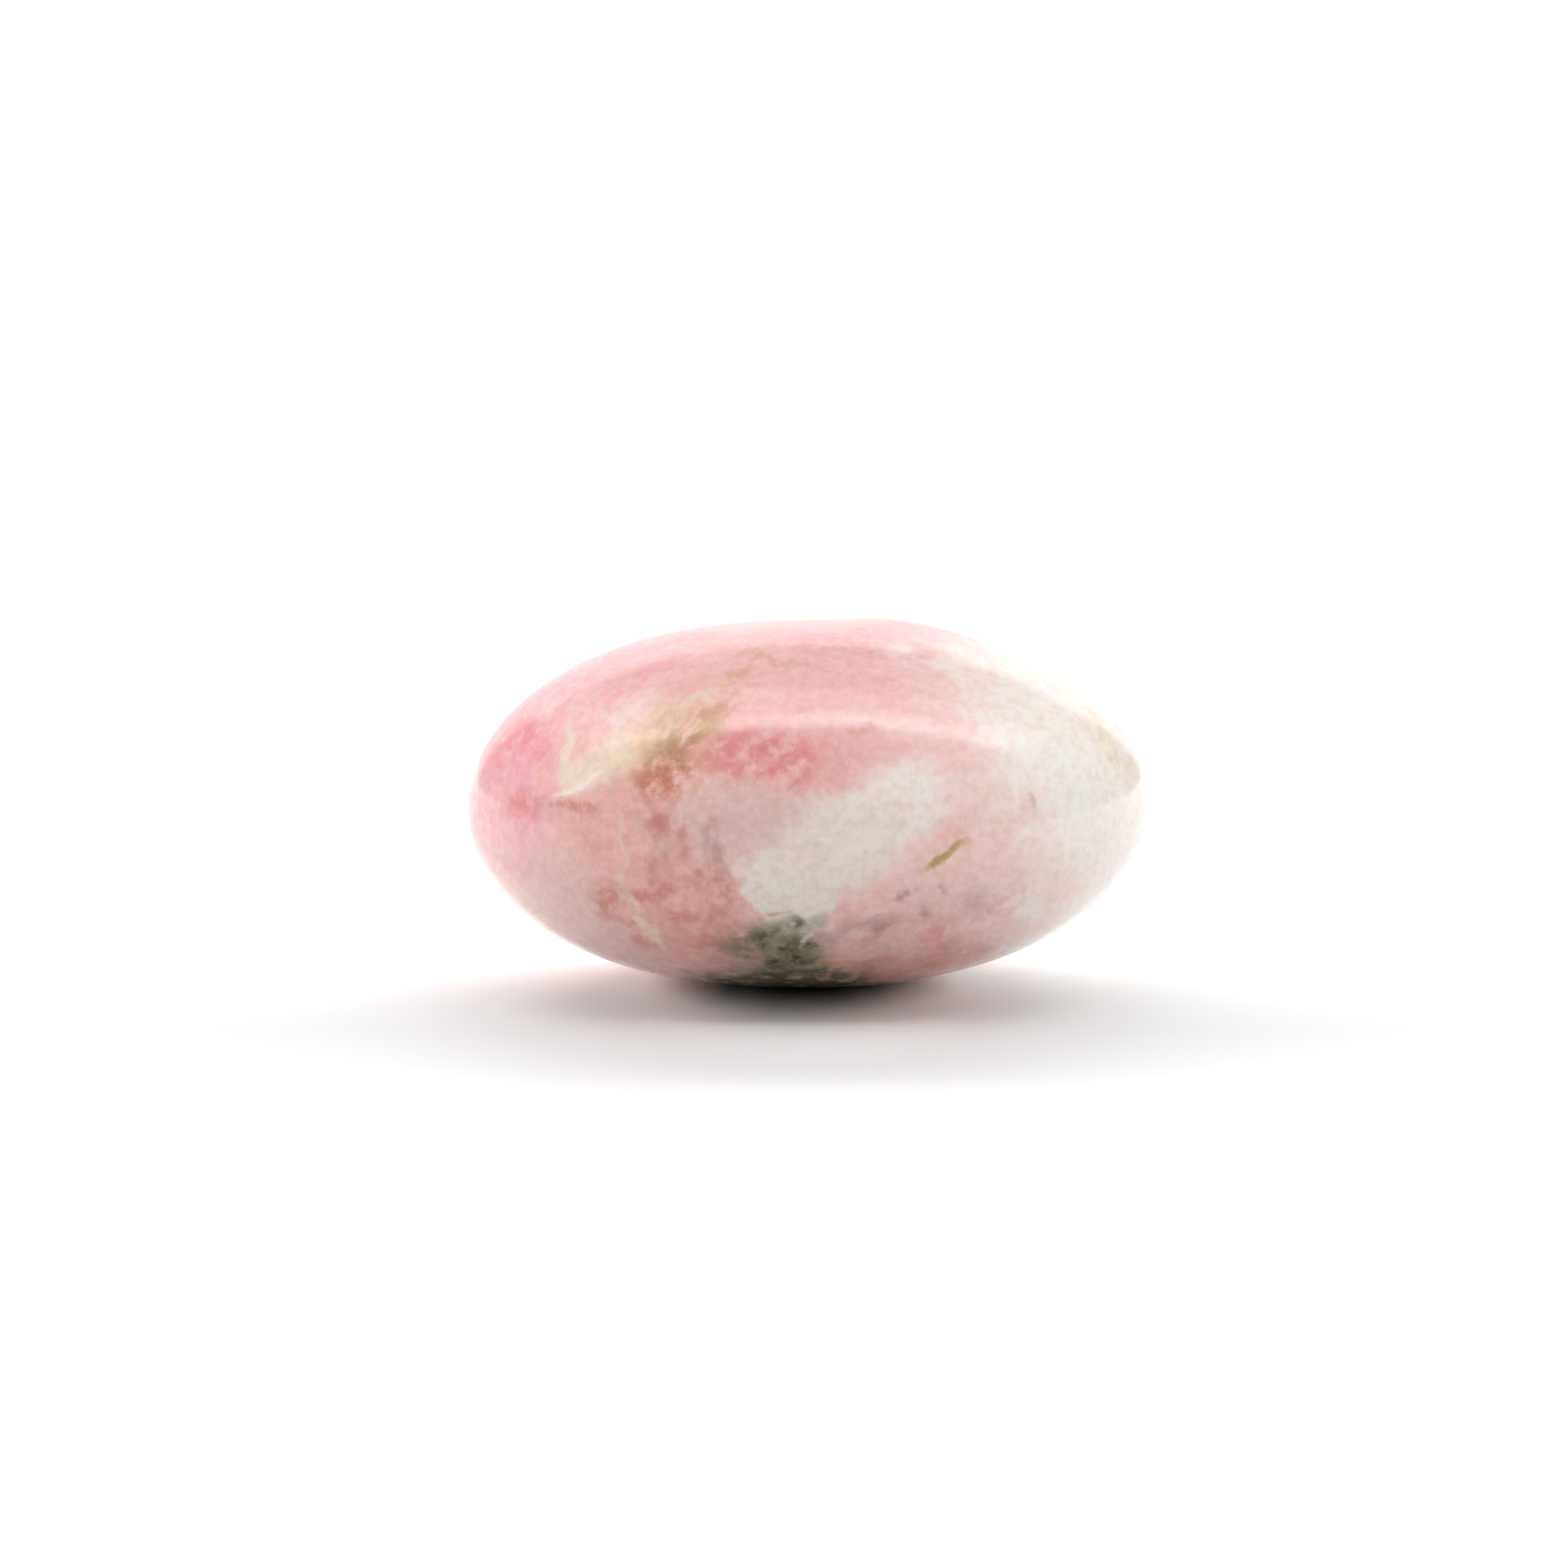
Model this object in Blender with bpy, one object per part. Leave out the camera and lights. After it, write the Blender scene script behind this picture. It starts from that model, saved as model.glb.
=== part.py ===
"""A tumbled and polished pebble of tugtupite, modelled at its real size.

Metres, +Z up. The pebble lies on a small flat worn under its middle, which is the plane Z = 0, with its
longest way along X and its shortest along Z. The origin is the middle of its footprint, on that plane.
"""

import math

import bmesh
import bpy
import numpy as np

MM = 0.001

# Half sizes of the stone before its swells and worn places, along X, Y and Z.
HALF_LENGTH = 14.6 * MM
HALF_DEPTH = 10.85 * MM
HALF_HEIGHT = 7.94 * MM

# An exponent of 2 is an ellipsoid. A little more fills out its shoulders, as a stone that began as a block has.
FULLNESS = 2.11

# Depth taken off the underside, which leaves a flat of about 7 mm by 5 mm for the stone to rest on.
FOOT_DEPTH = 0.16 * MM

# The broad swells and worn places. Each lies in a direction from the stone's middle: an azimuth in degrees,
# 0 at the front (-Y) and 90 at the right end (+X), and an elevation above the horizon. Then come how far the
# surface stands out there, or is worn in when that is less than zero, and how wide it spreads, in degrees.
SWELLS = {
    "upper right shoulder": (108, 40, 0.14 * MM, 24),
    "top, right of the middle": (112, 62, 0.18 * MM, 13),
    "upper left shoulder": (-108, 34, 0.12 * MM, 24),
    "lower left shoulder": (-75, -30, 0.27 * MM, 24),
    "right end": (90, 4, 0.42 * MM, 17),
    "left end": (-90, 0, 0.30 * MM, 17),
    "back right corner": (148, 2, 0.55 * MM, 27),
    "back left, worn flat": (-146, 6, -0.60 * MM, 30),
    "front, worn a little": (8, -4, -0.12 * MM, 26),
    "low on the back": (178, -38, 0.30 * MM, 24),
}

# Six levels of the icosahedron would be 20,480 triangles. Five are 5,120, about 0.9 mm across.
ICOSPHERE_LEVEL = 5

BASE_COLOUR = (0.66, 0.40, 0.38, 1.0)
ROUGHNESS = 0.12
SUBSURFACE = 0.3
SUBSURFACE_REACH = 2.0 * MM


def direction(azimuth, elevation):
    """The unit vector of an azimuth and an elevation in degrees."""
    a = math.radians(azimuth)
    e = math.radians(elevation)
    return np.array((math.sin(a) * math.cos(e), -math.cos(a) * math.cos(e), math.sin(e)))


def surface(ways):
    """Points of the stone's surface along unit vectors from its middle.

    The base is a superellipsoid: the radius at which |x/a|^n + |y/b|^n + |z/c|^n is 1. Each swell adds its
    height times exp(-(angle / spread)^2), where the angle is the one between the point and the swell.
    """
    halves = np.array((HALF_LENGTH, HALF_DEPTH, HALF_HEIGHT))
    radius = (np.abs(ways / halves) ** FULLNESS).sum(axis=1) ** (-1 / FULLNESS)
    for azimuth, elevation, height, spread in SWELLS.values():
        nearness = np.clip(ways @ direction(azimuth, elevation), -1, 1)
        radius += height * np.exp(-((np.degrees(np.arccos(nearness)) / spread) ** 2))
    return ways * radius[:, None]


def clear_scene():
    for obj in list(bpy.data.objects):
        bpy.data.objects.remove(obj, do_unlink=True)


def stone_material():
    material = bpy.data.materials.new("polished_tugtupite")
    material.use_nodes = True
    shader = material.node_tree.nodes["Principled BSDF"]
    shader.inputs["Base Color"].default_value = BASE_COLOUR
    shader.inputs["Roughness"].default_value = ROUGHNESS
    shader.inputs["Metallic"].default_value = 0.0
    shader.inputs["Subsurface Weight"].default_value = SUBSURFACE
    shader.inputs["Subsurface Scale"].default_value = SUBSURFACE_REACH
    return material


def make_pebble():
    """The whole stone, as one closed body."""
    mesh = bpy.data.meshes.new("pebble")
    shape = bmesh.new()
    bmesh.ops.create_icosphere(shape, subdivisions=ICOSPHERE_LEVEL, radius=1.0)
    ways = np.array([vert.co for vert in shape.verts])
    points = surface(ways / np.linalg.norm(ways, axis=1, keepdims=True))
    for vert, point in zip(shape.verts, points):
        vert.co = point

    # The foot: everything under the cut goes, and the hole that is left is filled with one flat face.
    foot_level = points[:, 2].min() + FOOT_DEPTH
    cut = bmesh.ops.bisect_plane(
        shape,
        geom=shape.verts[:] + shape.edges[:] + shape.faces[:],
        plane_co=(0, 0, foot_level),
        plane_no=(0, 0, -1),
        clear_outer=True,
    )
    rim = [item for item in cut["geom_cut"] if isinstance(item, bmesh.types.BMEdge)]
    bmesh.ops.edgeloop_fill(shape, edges=rim)
    bmesh.ops.recalc_face_normals(shape, faces=shape.faces[:])

    # The middle of the footprint's box goes to the origin, and the foot to Z = 0.
    lowest, highest = points.min(axis=0), points.max(axis=0)
    middle = (lowest + highest) / 2
    bmesh.ops.translate(shape, verts=shape.verts[:], vec=(-middle[0], -middle[1], -foot_level))

    shape.to_mesh(mesh)
    shape.free()
    mesh.shade_smooth()
    mesh.set_sharp_from_angle(angle=math.radians(30))
    pebble = bpy.data.objects.new("pebble", mesh)
    pebble.data.materials.append(stone_material())
    bpy.context.scene.collection.objects.link(pebble)
    return pebble


clear_scene()
make_pebble()
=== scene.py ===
import math

import bpy
import numpy as np
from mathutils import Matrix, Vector


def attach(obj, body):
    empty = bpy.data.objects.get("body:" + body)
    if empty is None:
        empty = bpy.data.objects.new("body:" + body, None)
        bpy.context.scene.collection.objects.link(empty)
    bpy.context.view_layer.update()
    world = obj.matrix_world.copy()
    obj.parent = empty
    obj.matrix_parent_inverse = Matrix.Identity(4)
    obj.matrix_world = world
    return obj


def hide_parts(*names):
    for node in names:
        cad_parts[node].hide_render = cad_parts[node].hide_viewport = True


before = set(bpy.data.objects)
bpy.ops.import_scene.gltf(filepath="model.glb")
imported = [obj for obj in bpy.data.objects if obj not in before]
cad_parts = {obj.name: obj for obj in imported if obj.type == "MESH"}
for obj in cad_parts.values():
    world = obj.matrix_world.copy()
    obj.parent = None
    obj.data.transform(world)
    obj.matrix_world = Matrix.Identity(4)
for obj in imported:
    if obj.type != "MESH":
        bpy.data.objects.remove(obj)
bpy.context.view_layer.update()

# The pebble: one piece of tugtupite rock, rounded for weeks in a tumbling barrel and polished there. It is a
# smooth oval with soft shoulders left from the block that it began as, and it lies on a small flat worn
# under its middle.
MM = 0.001
# Half sizes before the swells, along X, Y and Z. A fullness of 2 would be an ellipsoid.
HALVES = np.array((14.6, 10.85, 7.94)) * MM
FULLNESS = 2.11
FOOT_DEPTH = 0.16 * MM
# Each swell's azimuth (0 front, 90 right end), elevation, height and spread, with the angles in degrees.
# Where the height is less than zero, the stone is worn in.
SWELLS = {
    "upper right shoulder": (108, 40, 0.14 * MM, 24),
    "top, right of the middle": (112, 62, 0.18 * MM, 13),
    "upper left shoulder": (-108, 34, 0.12 * MM, 24),
    "lower left shoulder": (-75, -30, 0.27 * MM, 24),
    "right end": (90, 4, 0.42 * MM, 17),
    "left end": (-90, 0, 0.30 * MM, 17),
    "back right corner": (148, 2, 0.55 * MM, 27),
    "back left, worn flat": (-146, 6, -0.60 * MM, 30),
    "front, worn a little": (8, -4, -0.12 * MM, 26),
    "low on the back": (178, -38, 0.30 * MM, 24),
}
# Quads along each of the six sides that the surface is laid out on, each about 0.2 mm across.
SIDE_CELLS = 96


def direction(azimuth, elevation):
    """The unit vector of an azimuth and an elevation in degrees."""
    a = math.radians(azimuth)
    e = math.radians(elevation)
    return np.array((math.sin(a) * math.cos(e), -math.cos(a) * math.cos(e), math.sin(e)))


def stone_radius(ways):
    """Distance from the stone's middle to its surface along unit vectors: where |x/a|^n + |y/b|^n + |z/c|^n
    is 1, plus each swell's height times exp(-(angle / spread)^2), by the angle between the two directions."""
    radius = (np.abs(ways / HALVES) ** FULLNESS).sum(axis=-1) ** (-1 / FULLNESS)
    for azimuth, elevation, height, spread in SWELLS.values():
        angle = np.degrees(np.arccos(np.clip(ways @ direction(azimuth, elevation), -1, 1)))
        radius = radius + height * np.exp(-((angle / spread) ** 2))
    return radius


def stone_grid(cells):
    """Unit vectors over a whole sphere, and the quads that join them. Each of a cube's six sides is a grid
    of two angles from -45 to 45 degrees, whose tangents are the place on that side. Shared edges are
    merged."""
    across = np.tan(np.radians(np.linspace(-45, 45, cells + 1)))
    u, v = np.meshgrid(across, across, indexing="ij")
    ones = np.ones_like(u)
    sides = [(ones, u, v), (-ones, -u, v), (-u, ones, v), (u, -ones, v), (-v, u, ones), (v, u, -ones)]
    points = np.concatenate([np.stack(side, axis=-1).reshape(-1, 3) for side in sides])
    points /= np.linalg.norm(points, axis=1, keepdims=True)
    corner = (np.arange(cells)[:, None] * (cells + 1) + np.arange(cells)).ravel()
    quad = np.stack([corner, corner + cells + 1, corner + cells + 2, corner + 1], axis=1)
    quads = np.concatenate([quad + side * (cells + 1) ** 2 for side in range(len(sides))])
    rounded = points.round(7)
    _, first, index = np.unique(rounded, axis=0, return_index=True, return_inverse=True)
    return points[first], index.reshape(-1)[quads]


ways, quads = stone_grid(SIDE_CELLS)
points = ways * stone_radius(ways)[:, None]
foot_level = points[:, 2].min() + FOOT_DEPTH
middle = (points.min(axis=0) + points.max(axis=0)) / 2
points[:, 2] = np.maximum(points[:, 2], foot_level)
points -= (middle[0], middle[1], foot_level)

pebble_mesh = bpy.data.meshes.new("tumbled_pebble")
pebble_mesh.from_pydata(points.tolist(), [], quads.tolist())
pebble_mesh.shade_smooth()
pebble = bpy.data.objects.new("tumbled_pebble", pebble_mesh)
bpy.context.scene.collection.objects.link(pebble)


def linear(hex_colour):
    """An sRGB hex colour as linear RGBA."""
    srgb = np.array([int(hex_colour[i : i + 2], 16) for i in (1, 3, 5)]) / 255
    return (*np.where(srgb <= 0.04045, srgb / 12.92, ((srgb + 0.055) / 1.055) ** 2.4), 1.0)


# Tugtupite is a pink to white mineral that lets light some millimetres in. The rock it comes in is mottled
# with white albite, tan staining along old cracks and grey-green grains of aegirine. Tumbling leaves a soft
# polish.
material = bpy.data.materials.new("tumble_polished_tugtupite")
material.use_nodes = True
tree = material.node_tree
shader = tree.nodes["Principled BSDF"]


def node(kind, inputs, **settings):
    """A new node with its settings. Each input is given a plain value, or linked to another's output."""
    new = tree.nodes.new(kind)
    for name, value in settings.items():
        setattr(new, name, value)
    for socket, value in inputs.items():
        if isinstance(value, bpy.types.NodeSocket):
            tree.links.new(value, new.inputs[socket])
        else:
            new.inputs[socket].default_value = value
    return new.outputs


# The markings are placed as they are seen from the front, 10 degrees above the level: millimetres across,
# away from the eye, and up, from the stone's middle.
VIEW_TILT = math.radians(10)
MIDDLE_HEIGHT = 7.87
# The same turn for the mesh's points, as a matrix, and for the material's coordinates.
tilt_row_away = (0, math.cos(VIEW_TILT), -math.sin(VIEW_TILT))
tilt_row_up = (0, math.sin(VIEW_TILT), math.cos(VIEW_TILT))
tilt = np.array(((1, 0, 0), tilt_row_away, tilt_row_up))
seen_points = (points / MM - (0, 0, MIDDLE_HEIGHT)) @ tilt.T
where = node("ShaderNodeTexCoord", {})["Object"]
level = {"Location": (0, 0, -MIDDLE_HEIGHT), "Scale": (1 / MM, 1 / MM, 1 / MM), "Vector": where}
tilted = {"Vector": node("ShaderNodeMapping", level)[0], "Rotation": (VIEW_TILT, 0, 0)}
seen = node("ShaderNodeMapping", tilted)[0]


def rock_noise(size, detail, roughness=0.55, vector=seen):
    """Soft noise whose blotches are about size millimetres across: outputs its value, then a colour."""
    inputs = {"Vector": vector, "Scale": 1 / size, "Detail": detail, "Roughness": roughness}
    return node("ShaderNodeTexNoise", inputs)


def between(value, low, high, smooth=True):
    """0 where the value is at low, 1 where it is at high."""
    inputs = {"Value": value, "From Min": low, "From Max": high}
    return node("ShaderNodeMapRange", inputs, interpolation_type="SMOOTHSTEP" if smooth else "LINEAR")[0]


def times(value, other):
    return node("ShaderNodeMath", {0: value, 1: other}, operation="MULTIPLY")[0]


def mix(amount, below, above):
    return node("ShaderNodeMixRGB", {"Fac": amount, "Color1": below, "Color2": above})[0]


# Every marking's outline wanders by half a millimetre or so, and frays more finely than that. Sizes of the
# noises, and how far they push, are in millimetres.
HALF_GREY = (0.5, 0.5, 0.5)
DRIFT_SIZE = 4
DRIFT_PUSH = (1.4, 1.4, 1.4)
FRAY_SIZE = 1.0
FRAY_PUSH = (0.9, 0.9, 0.9)
GRAIN_SIZE = 0.40
drift_noise = rock_noise(DRIFT_SIZE, 2)["Color"]
drift = node("ShaderNodeVectorMath", {0: drift_noise, 1: HALF_GREY}, operation="SUBTRACT")[0]
fray_noise = rock_noise(FRAY_SIZE, 4, 0.65)["Color"]
fray = node("ShaderNodeVectorMath", {0: fray_noise, 1: HALF_GREY}, operation="SUBTRACT")[0]
moved = node("ShaderNodeVectorMath", {0: drift, 1: DRIFT_PUSH, 2: seen}, operation="MULTIPLY_ADD")[0]
moved = node("ShaderNodeVectorMath", {0: fray, 1: FRAY_PUSH, 2: moved}, operation="MULTIPLY_ADD")[0]
grain = rock_noise(GRAIN_SIZE, 3, 0.6)[0]

# What breaks a marking up: clouds over a millimetre across, finer mottling, streaks along the tan vein, or
# small soft freckles. Each is 0 where its noise is at the first of its last two numbers, and 1 at the second.
STREAK_TURN = math.radians(-38)
STREAK_SIZE = (3.0, 1.5, 0.40)
along = {"Vector": moved, "Rotation": (0, STREAK_TURN, 0), "Scale": STREAK_SIZE}
streaks = rock_noise(1.0, 3, 0.55, node("ShaderNodeMapping", along, vector_type="TEXTURE")[0])[0]
PATTERNS = {
    "even": between(grain, 0.15, 0.35),
    "cloudy": between(rock_noise(1.7, 4, 0.6)[0], 0.32, 0.58),
    "mottled": between(rock_noise(0.75, 3, 0.6)[0], 0.34, 0.60),
    "streaky": between(streaks, 0.38, 0.58),
    "freckled": between(rock_noise(0.85, 2, 0.5)[0], 0.48, 0.68),
}

# The stone's minerals and stains, from white albite and pink tugtupite to grey-green aegirine.
COLOURS = {
    "snow": "#FAF5F2",
    "chalk": "#F2EEE8",
    "cream": "#F2E8DA",
    "straw": "#F1E6C6",
    "pale blush": "#F6E0DD",
    "blush": "#F4CBCB",
    "candy pink": "#F7B1BC",
    "deep pink": "#F298A9",
    "rose": "#E9A9AB",
    "dusty rose": "#E0AEA8",
    "grey-pink": "#E9D6D3",
    "warm pink": "#EBC2B8",
    "tan": "#DFBB9C",
    "olive-tan": "#C4A67C",
    "red-brown": "#D69A8C",
    "mauve-brown": "#BE9C98",
    "lilac pink": "#F1C4CE",
    "grey-green": "#7F8868",
    "dark green": "#484F34",
    "ochre": "#BCA45C",
}

# Without its markings the stone is pink. It starts to turn white 5 mm right of its middle.
WHITE_STARTS = 5.0
WHITE_ALL_OVER = 9.5
across_stone = node("ShaderNodeSeparateXYZ", {"Vector": moved})["X"]
pink = mix(PATTERNS["cloudy"], linear(COLOURS["blush"]), linear(COLOURS["pale blush"]))
rock = mix(between(across_stone, WHITE_STARTS, WHITE_ALL_OVER), pink, linear(COLOURS["snow"]))

# Name: across, up, half width, half height, turn anticlockwise in degrees, softness of the edge, strength,
# pattern, colour. Later ones lie over earlier ones.
MARKINGS = {
    "white above the middle, right": (6.2, 5.6, 3.4, 2.2, -20, 0.6, 0.7, "cloudy", "snow"),
    "cream upper right": (9.6, 4.6, 5.0, 2.3, -22, 0.5, 0.25, "cloudy", "cream"),
    # The straw on the right rim is partly the rock's tint and partly painted glow, where light shines through
    # the thin edge.
    "straw tint and painted glow on the right rim": (13.4, 2.4, 0.9, 2.2, 28, 0.8, 0.28, "cloudy", "straw"),
    "grey mottling by the right rim": (13.0, 2.6, 0.9, 2.0, 28, 0.9, 0.14, "freckled", "grey-green"),
    "pink left end": (-12.8, 2.8, 2.6, 2.7, 30, 0.9, 0.6, "cloudy", "candy pink"),
    "deeper pink, left end": (-12.6, 2.6, 1.5, 1.5, 30, 0.9, 0.5, "mottled", "deep pink"),
    "paler, between the pinks": (-10.2, 3.9, 1.6, 0.9, 28, 0.9, 0.6, "even", "pale blush"),
    "pink upper left": (-8.4, 5.5, 5.2, 1.3, 24, 0.9, 0.6, "cloudy", "candy pink"),
    "pink along the upper left rim": (-9.9, 5.8, 4.2, 0.8, 30, 0.9, 0.5, "even", "candy pink"),
    "pink along the left rim": (-14.2, 0.6, 0.9, 3.2, 0, 0.9, 0.35, "even", "candy pink"),
    "pink along the top rim": (-0.5, 7.4, 9.0, 0.9, 0, 0.8, 0.5, "cloudy", "candy pink"),
    "paler upper middle": (-1.6, 5.0, 4.6, 1.8, 0, 0.8, 0.75, "cloudy", "blush"),
    "deeper pink on the top": (2.0, 6.7, 2.2, 0.9, -5, 0.9, 0.35, "mottled", "rose"),
    "pink upper middle": (3.0, 4.4, 3.6, 2.0, -8, 0.7, 0.65, "cloudy", "blush"),
    # Painted light: a paler strip laid just under the lamp's highlight, where the stone is lit more, not a
    # mineral of its own.
    "painted light under the lamp's highlight": (3.5, 2.5, 5.0, 1.0, -6, 0.7, 0.6, "even", "pale blush"),
    "rose band": (-0.8, 2.0, 4.8, 1.7, -5, 0.5, 0.75, "even", "blush"),
    "rose blotch, left": (-3.3, 1.7, 1.3, 1.2, 0, 0.9, 0.9, "mottled", "rose"),
    "rose blotch, middle": (-1.1, 1.7, 1.4, 1.2, -20, 0.9, 0.9, "mottled", "rose"),
    "rose blotch, right": (1.0, 1.8, 1.2, 0.9, 0, 0.9, 0.25, "mottled", "rose"),
    "tan ground, left": (-8.0, -0.9, 3.0, 1.6, 14, 0.7, 0.75, "cloudy", "warm pink"),
    "pale ground, left of the middle": (-5.9, -1.3, 2.0, 1.2, -10, 0.7, 0.8, "cloudy", "grey-pink"),
    "pinkish ground, middle": (-2.6, -0.9, 3.0, 1.7, 0, 0.7, 0.85, "even", "grey-pink"),
    "dusty rose, lower left": (-6.4, -4.4, 3.4, 2.9, -20, 0.9, 0.65, "cloudy", "dusty rose"),
    "warm pink, lower left": (-4.6, -5.0, 2.6, 2.2, -20, 0.9, 0.6, "mottled", "warm pink"),
    "grey-white, lower left": (-10.8, -4.5, 3.7, 2.1, -38, 0.8, 0.75, "even", "grey-pink"),
    "pink ground, far left": (-12.8, -0.8, 2.6, 2.6, 0, 0.9, 0.85, "cloudy", "lilac pink"),
    "pale, low on the left": (-9.4, -6.0, 3.0, 1.0, -27, 0.8, 0.8, "even", "grey-pink"),
    "warm pink by the tan vein": (-6.0, 0.4, 2.0, 1.4, 30, 0.8, 0.7, "mottled", "warm pink"),
    "red-brown by the tan vein": (-6.3, 1.1, 1.5, 1.0, 35, 0.9, 0.95, "mottled", "red-brown"),
    "red-brown spots, left of the middle": (-5.8, -1.4, 1.1, 1.6, 10, 0.9, 0.6, "freckled", "red-brown"),
    "red-brown, under the white streak": (-10.2, -0.2, 1.2, 0.3, -4, 0.9, 0.6, "mottled", "red-brown"),
    "red-brown spots, lower left": (-6.2, -5.0, 2.8, 1.8, -30, 0.9, 0.6, "freckled", "red-brown"),
    "red spot, low": (-8.5, -4.1, 0.7, 0.6, -30, 1.2, 0.6, "mottled", "red-brown"),
    "rose spots, lower left": (-6.0, -4.2, 1.8, 3.0, 20, 1.0, 0.5, "freckled", "rose"),
    "red thread": (-4.3, -3.2, 0.6, 0.16, -25, 0.8, 0.6, "mottled", "red-brown"),
    "rose veil, under the grey": (-3.6, -5.0, 1.4, 1.8, 0, 0.9, 0.4, "cloudy", "dusty rose"),
    "tan vein, lower part": (-6.2, 2.4, 3.0, 1.4, 34, 0.9, 0.45, "cloudy", "tan"),
    "tan vein, middle part": (-4.8, 3.7, 2.6, 1.1, 40, 0.9, 0.4, "streaky", "tan"),
    "tan vein, upper part": (-2.6, 6.0, 2.2, 0.4, 48, 0.9, 0.45, "streaky", "tan"),
    "pale streaks in the vein": (-4.9, 4.0, 1.6, 0.35, 38, 0.8, 0.65, "streaky", "cream"),
    "olive in the tan vein": (-5.4, 2.8, 2.0, 0.8, 36, 0.9, 0.6, "streaky", "olive-tan"),
    "straw by the cream patch": (-7.6, 2.3, 1.3, 0.8, 25, 0.8, 0.6, "cloudy", "straw"),
    "cream patch": (-9.1, 1.5, 1.7, 0.75, 26, 0.9, 0.75, "even", "cream"),
    "blush notch in the cream": (-9.5, 2.8, 0.9, 0.6, 10, 0.8, 0.8, "even", "blush"),
    "cream point, upward": (-10.5, 2.3, 0.25, 1.2, -8, 0.9, 0.7, "even", "cream"),
    "cream point, downward": (-10.3, 0.9, 0.45, 0.8, 8, 0.5, 0.8, "even", "cream"),
    "white streak under the cream": (-9.9, 0.55, 1.2, 0.12, 32, 0.9, 0.7, "even", "snow"),
    "pink round spot": (-12.3, -0.4, 0.85, 0.8, 0, 0.6, 0.65, "mottled", "rose"),
    "white, up to the right": (3.6, -0.2, 3.2, 1.6, 18, 0.7, 0.85, "even", "snow"),
    "white, middle": (1.1, -2.0, 3.0, 2.2, 30, 0.7, 0.9, "even", "chalk"),
    "white, upper lobe": (-1.8, -3.0, 1.3, 1.0, 0, 0.25, 0.55, "even", "chalk"),
    "white, lower lobe": (-0.8, -3.9, 2.1, 1.3, -20, 0.16, 0.95, "even", "chalk"),
    "white, lowest lobe": (-0.4, -5.2, 1.3, 0.8, -5, 0.3, 0.85, "even", "chalk"),
    "pink, right of the middle": (7.9, -0.6, 2.3, 2.0, -20, 0.9, 0.7, "cloudy", "pale blush"),
    "pink, lower right": (6.6, -3.3, 3.6, 1.9, 12, 0.9, 0.8, "even", "pale blush"),
    "grey-pink, lower right": (5.0, -5.0, 3.6, 1.5, 10, 0.9, 0.6, "cloudy", "grey-pink"),
    "pale low on the right": (9.6, -4.4, 2.6, 1.6, 24, 0.8, 0.6, "cloudy", "pale blush"),
    "dusty rose, low on the right": (4.6, -5.9, 4.0, 1.3, 8, 0.9, 0.3, "cloudy", "dusty rose"),
    # Partly the rock's dusty rose and partly painted shade along the base, where the stone curves under
    # towards the board.
    "dusty rose and painted shade along the base": (4.8, -7.0, 3.6, 0.7, 8, 0.8, 0.8, "cloudy", "dusty rose"),
    "mauve shade by the white": (-3.7, -3.0, 0.45, 2.2, 8, 0.9, 0.5, "mottled", "mauve-brown"),
    "grey-green patch": (-1.5, -6.3, 2.2, 1.15, 0, 1.0, 0.85, "cloudy", "grey-green"),
    "grey-green core": (-1.0, -6.6, 1.5, 0.8, 0, 0.9, 0.5, "even", "grey-green"),
    "dark grains in the core": (-0.9, -6.4, 1.6, 0.9, 0, 0.9, 0.85, "freckled", "dark green"),
    "dark grains, upper": (-0.4, -5.5, 1.0, 0.4, -12, 0.9, 0.65, "freckled", "dark green"),
    "grey-green grains, right": (0.5, -5.2, 0.5, 0.35, 0, 0.9, 0.35, "mottled", "grey-green"),
    "ochre grains above": (-1.3, -4.75, 0.5, 0.16, -10, 0.8, 0.5, "freckled", "ochre"),
    "white streak in the green": (0.25, -6.1, 0.7, 0.13, 52, 0.9, 0.6, "mottled", "chalk"),
    "pale swirl at the base": (0.6, -7.2, 1.0, 0.16, 12, 0.8, 0.6, "mottled", "tan"),
    "olive along the base": (-1.2, -8.0, 4.0, 0.9, 0, 0.6, 0.9, "mottled", "grey-green"),
    "ochre glow": (5.9, -2.4, 1.1, 0.5, 32, 0.8, 0.55, "cloudy", "straw"),
    "ochre vein": (5.8, -2.25, 1.05, 0.19, 34, 0.9, 0.75, "even", "ochre"),
    "mauve-brown spots": (4.4, -4.0, 1.2, 0.45, 10, 0.8, 0.7, "freckled", "mauve-brown"),
    "mauve-brown spots, lower": (3.9, -5.2, 1.3, 0.6, 0, 0.8, 0.6, "freckled", "mauve-brown"),
    "mauve streaks, lower right": (2.5, -5.5, 1.7, 0.6, 18, 0.9, 0.35, "streaky", "mauve-brown"),
    "brown haze, right": (7.6, -4.2, 1.2, 0.4, -8, 0.9, 0.35, "mottled", "mauve-brown"),
    "rose spot, lower right": (5.8, -5.8, 0.8, 0.6, 0, 0.9, 0.6, "mottled", "rose"),
    "red-brown spot, upper": (2.4, 2.8, 0.5, 0.28, 0, 0.9, 0.5, "mottled", "red-brown"),
    "thin brown line": (-0.8, 5.9, 1.5, 0.12, -8, 0.9, 0.3, "even", "olive-tan"),
    "grey-green line": (9.5, 0.0, 0.12, 0.8, 14, 0.9, 0.22, "mottled", "grey-green"),
    "pale thread, left": (-8.0, -2.6, 0.16, 1.9, 4, 0.9, 0.8, "mottled", "cream"),
    "pale thread, low": (-6.9, -5.2, 0.18, 1.4, 32, 0.9, 0.8, "mottled", "cream"),
}
# Each marking's half size away from the eye, in millimetres.
REACH_AWAY = 5.0
# How many of the mesh's nearest points tell where its near side is.
NEAREST = 12
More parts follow.
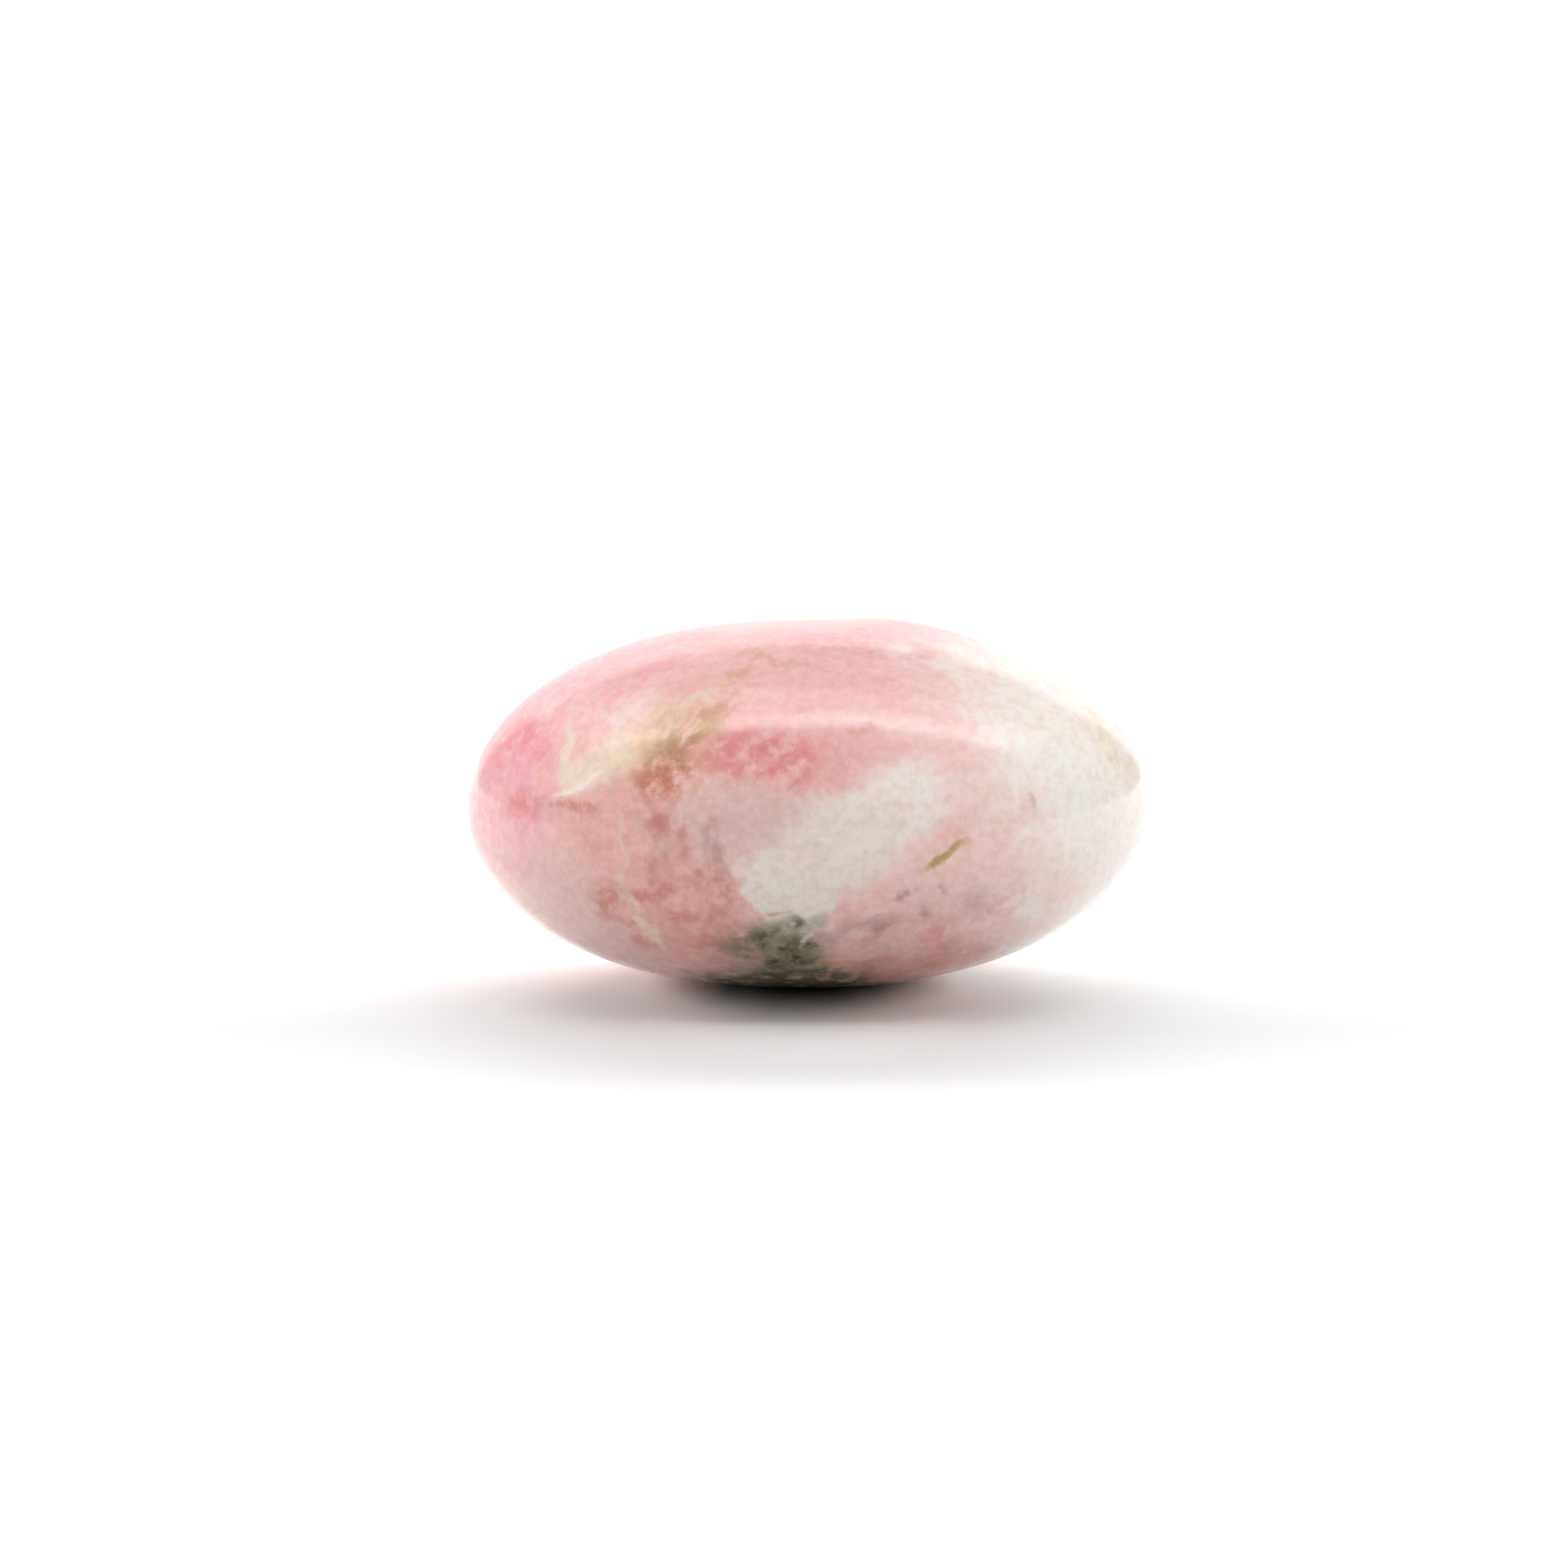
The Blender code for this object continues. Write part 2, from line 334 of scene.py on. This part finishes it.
# The share of its softness by which a marking's outer edge stands out beyond its half sizes.
SOFT_OUTSIDE = 0.5


def depth_at(across, up):
    """How far away from the eye the stone's near side is there, by the nearest points of its mesh."""
    gap = np.hypot(seen_points[:, 0] - across, seen_points[:, 2] - up)
    return seen_points[np.argsort(gap)[:NEAREST], 1].min()


def marking(below, middle, turn, halves, softness, strength, pattern, colour):
    """Lay one soft-edged, ragged ellipsoid of colour over the colour below it. The gradient is 1 at its
    middle and 0 at its outer edge."""
    outer = 1 + SOFT_OUTSIDE * softness
    reach = tuple(half * outer for half in halves)
    inputs = {"Vector": moved, "Location": middle, "Rotation": (0, -math.radians(turn), 0), "Scale": reach}
    ellipsoid = node("ShaderNodeMapping", inputs, vector_type="TEXTURE")[0]
    nearness = node("ShaderNodeTexGradient", {"Vector": ellipsoid}, gradient_type="SPHERICAL")["Fac"]
    amount = times(between(nearness, 0.0, softness / outer), times(PATTERNS[pattern], strength))
    return mix(amount, below, linear(COLOURS[colour]))


for across, up, half_width, half_height, turn, *look in MARKINGS.values():
    middle = (across, depth_at(across, up), up)
    rock = marking(rock, middle, turn, (half_width, REACH_AWAY, half_height), *look)

# The sides that the front hides carry the same minerals. Azimuth (0 front, 90 right end), elevation, half
# width, half height, then the look as above.
HIDDEN_MARKINGS = {
    "white, back right": (142, 8, 6.0, 4.0, 0.7, 0.6, "cloudy", "cream"),
    "chalk patch, back": (186, 10, 3.4, 2.6, 0.3, 0.9, "even", "chalk"),
    "rose, back": (160, -8, 4.2, 2.6, 0.8, 0.7, "cloudy", "rose"),
    "deeper pink, back left": (-150, 18, 3.6, 2.4, 0.9, 0.5, "cloudy", "candy pink"),
    "grey-pink, back": (-170, -20, 4.6, 2.4, 0.8, 0.7, "cloudy", "grey-pink"),
    "tan vein over the top": (-168, 58, 4.0, 1.3, 0.9, 0.5, "cloudy", "tan"),
    "red-brown spots, back": (176, -28, 3.4, 1.8, 0.8, 0.6, "freckled", "red-brown"),
    "dark grains, back": (150, -32, 1.3, 0.9, 0.8, 0.7, "mottled", "grey-green"),
    "green under the stone": (10, -82, 3.4, 3.0, 0.8, 0.85, "mottled", "grey-green"),
    "dark grains under the stone": (-30, -76, 2.2, 1.6, 0.8, 0.7, "freckled", "dark green"),
    "chalk under the stone": (120, -60, 3.2, 2.6, 0.6, 0.8, "cloudy", "chalk"),
    "dusty rose under the stone": (-110, -62, 3.6, 2.8, 0.8, 0.8, "cloudy", "dusty rose"),
}
for azimuth, elevation, half_width, half_height, *look in HIDDEN_MARKINGS.values():
    way = direction(azimuth, elevation)
    middle = (way * stone_radius(way[None])[0] / MM) @ tilt.T
    rock = marking(rock, tuple(middle), 0, (half_width, half_width, half_height), *look)

# Over all of it lie faint freckles, pale threads and fine sugary grain. The threads run where a noise is
# within THREAD_REACH of its middle value.
FRECKLE_SIZE = 0.6
FRECKLE_STRENGTH = 0.14
THREAD_SPACING = 2.6
THREAD_REACH = 0.016
THREAD_STRENGTH = 0.22
DARK_GRAIN_STRENGTH = 0.14
PALE_GRAIN_STRENGTH = 0.16
freckles = between(rock_noise(FRECKLE_SIZE, 3, 0.6)[0], 0.56, 0.72)
rock = mix(times(freckles, FRECKLE_STRENGTH), rock, linear(COLOURS["dusty rose"]))
thread_noise = rock_noise(THREAD_SPACING, 3, 0.6, moved)[0]
ridges = node("ShaderNodeMath", {0: thread_noise, 1: 0.5}, operation="SUBTRACT")[0]
threads = between(node("ShaderNodeMath", {0: ridges}, operation="ABSOLUTE")[0], THREAD_REACH, 0.0)
rock = mix(times(threads, THREAD_STRENGTH), rock, linear(COLOURS["cream"]))
dark_grains = between(grain, 0.60, 0.30)
rock = mix(times(dark_grains, DARK_GRAIN_STRENGTH), rock, linear(COLOURS["mauve-brown"]))
pale_grains = between(grain, 0.45, 0.75)
rock = mix(times(pale_grains, PALE_GRAIN_STRENGTH), rock, linear(COLOURS["snow"]))
tree.links.new(rock, shader.inputs["Base Color"])

# The polish is a little duller in some places, several millimetres across, and leaves dimples too shallow to
# feel. Red light goes about 6 mm into the stone, and green and blue light about half as far. Tugtupite's
# refractive index is about 1.5.
POLISH_PATCH_SIZE = 3
BEST_POLISH = 0.12
DULLEST_POLISH = 0.19
DIMPLE_SIZE = 1.6
DIMPLE_DEPTH = 0.02 * MM
DIMPLE_STRENGTH = 0.25
REFRACTIVE_INDEX = 1.5
LIGHT_DEPTH = 6.0 * MM
LIGHT_DEPTH_BY_COLOUR = (1.0, 0.6, 0.5)
patches = between(rock_noise(POLISH_PATCH_SIZE, 3)[0], 0.3, 0.7, smooth=False)
roughness_range = {"Value": patches, "To Min": BEST_POLISH, "To Max": DULLEST_POLISH}
tree.links.new(node("ShaderNodeMapRange", roughness_range)[0], shader.inputs["Roughness"])
dimple_noise = rock_noise(DIMPLE_SIZE, 3)[0]
dimples = {"Height": dimple_noise, "Strength": DIMPLE_STRENGTH, "Distance": DIMPLE_DEPTH}
tree.links.new(node("ShaderNodeBump", dimples)[0], shader.inputs["Normal"])
shader.inputs["IOR"].default_value = REFRACTIVE_INDEX
shader.inputs["Subsurface Weight"].default_value = 1.0
shader.inputs["Subsurface Radius"].default_value = LIGHT_DEPTH_BY_COLOUR
shader.inputs["Subsurface Scale"].default_value = LIGHT_DEPTH
pebble_mesh.materials.append(material)

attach(pebble, "root")
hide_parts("pebble")


# The studio: a matt white board in a tent of white cloth. A tube lamp, long from left to right, shines
# straight down through the tent's roof, the sides and the back glow, and the front is open towards the
# camera.
FLOOR_HALF = 2.0
FLOOR_COLOUR = "#F4F4F4"
FLOOR_ROUGHNESS = 0.6
corners = [(-1, -1, 0), (1, -1, 0), (1, 1, 0), (-1, 1, 0)]
floor_mesh = bpy.data.meshes.new("floor")
floor_mesh.from_pydata((np.array(corners) * FLOOR_HALF).tolist(), [], [(0, 1, 2, 3)])
floor = bpy.data.objects.new("floor", floor_mesh)
bpy.context.scene.collection.objects.link(floor)
floor_material = bpy.data.materials.new("matt_white_board")
floor_material.use_nodes = True
floor_shader = floor_material.node_tree.nodes["Principled BSDF"]
floor_shader.inputs["Base Color"].default_value = linear(FLOOR_COLOUR)
floor_shader.inputs["Roughness"].default_value = FLOOR_ROUGHNESS
floor_mesh.materials.append(floor_material)

# Each panel: its width and height, its middle, the point it faces, and its radiance, where 0.7 is white in
# the picture. The polish shows only the panels named in REFLECTED, and only the back is in the picture
# itself. The panels in STONE_ONLY light the stone and not the board. Those whose names start with "board"
# light the board alone, and are so wide and far away that it is evenly white up to the picture's edges.
PANELS = {
    "roof's back": (0.60, 0.14, (0, 0.33, 0.300), (0, 0.33, 0), 1.5),
    "board's roof back": (1.80, 0.42, (0, 0.99, 0.90), (0, 0.99, 0), 3.1),
    "roof's middle": (0.60, 0.14, (0, 0.020, 0.300), (0, 0.020, 0), 1.0),
    "lamp": (0.44, 0.036, (0.04, -0.047, 0.298), (0.04, -0.047, 0), 1.45),
    "lamp's glow": (0.50, 0.070, (0, -0.030, 0.296), (0, -0.030, 0), 0.6),
    "left side": (0.36, 0.16, (-0.30, 0.18, 0.08), (0, 0.18, 0.08), 2.5),
    "right side": (0.36, 0.16, (0.30, 0.18, 0.08), (0, 0.18, 0.08), 1.7),
    "board's left side": (1.08, 0.48, (-0.90, 0.54, 0.24), (0, 0.54, 0.24), 5.3),
    "board's right side": (1.08, 0.48, (0.90, 0.54, 0.24), (0, 0.54, 0.24), 6.0),
    "board's roof": (1.80, 0.48, (0, 0.09, 0.90), (0, 0.09, 0), 0.50),
    "back": (0.60, 0.30, (0, 0.39, 0.15), (0, 0, 0.15), 0.73),
    "high fill": (0.50, 0.20, (0, -0.20, 0.35), (0, 0, 0), 0.95),
    "low fill": (0.50, 0.20, (0, -0.33, 0.23), (0, 0, 0), 0.76),
}
REFLECTED = ("roof's middle", "lamp", "lamp's glow", "back")
STONE_ONLY = ("roof's middle", "high fill", "low fill")
stone_alone = bpy.data.collections.new("stone_alone")
stone_alone.objects.link(pebble)
board_alone = bpy.data.collections.new("board_alone")
board_alone.objects.link(floor)
for name, (width, height, place, target, radiance) in PANELS.items():
    light = bpy.data.lights.new(name, "AREA")
    light.shape = "RECTANGLE"
    light.size = width
    light.size_y = height
    # A flat lamp's power is its radiance times pi times its area.
    light.energy = radiance * math.pi * width * height
    panel = bpy.data.objects.new(name, light)
    bpy.context.scene.collection.objects.link(panel)
    panel.location = place
    panel.rotation_euler = (Vector(target) - Vector(place)).to_track_quat("-Z", "Y").to_euler()
    panel.visible_camera = name == "back"
    panel.visible_glossy = name in REFLECTED
    if name in STONE_ONLY:
        panel.light_linking.receiver_collection = stone_alone
    if name.startswith("board"):
        panel.light_linking.receiver_collection = board_alone

# A little light comes from the rest of the room.
ROOM_LIGHT = 0.05
world = bpy.data.worlds.new("studio")
bpy.context.scene.world = world
world.use_nodes = True
background = world.node_tree.nodes["Background"]
background.inputs["Color"].default_value = linear("#FFFFFF")
background.inputs["Strength"].default_value = ROOM_LIGHT

bpy.context.scene.view_settings.view_transform = "Standard"
bpy.context.scene.view_settings.look = "High Contrast"

# The camera looks down at the front of the stone from 10 degrees above it, from far enough to show it as a
# long macro lens does.
CAMERA_ELEVATION = VIEW_TILT
CAMERA_DISTANCE = 257.7 * MM
LENS = 135
SENSOR = 36
NEAREST_SHOWN = 0.01
FURTHEST_SHOWN = 10
AIM = Vector((-1.091, 0, 8.563)) * MM
camera_data = bpy.data.cameras.new("camera")
camera_data.lens = LENS
camera_data.sensor_width = SENSOR
camera_data.clip_start = NEAREST_SHOWN
camera_data.clip_end = FURTHEST_SHOWN
camera = bpy.data.objects.new("camera", camera_data)
bpy.context.scene.collection.objects.link(camera)
to_camera = Vector((0, -math.cos(CAMERA_ELEVATION), math.sin(CAMERA_ELEVATION)))
camera.location = AIM + CAMERA_DISTANCE * to_camera
camera.rotation_euler = (-to_camera).to_track_quat("-Z", "Y").to_euler()
bpy.context.scene.camera = camera
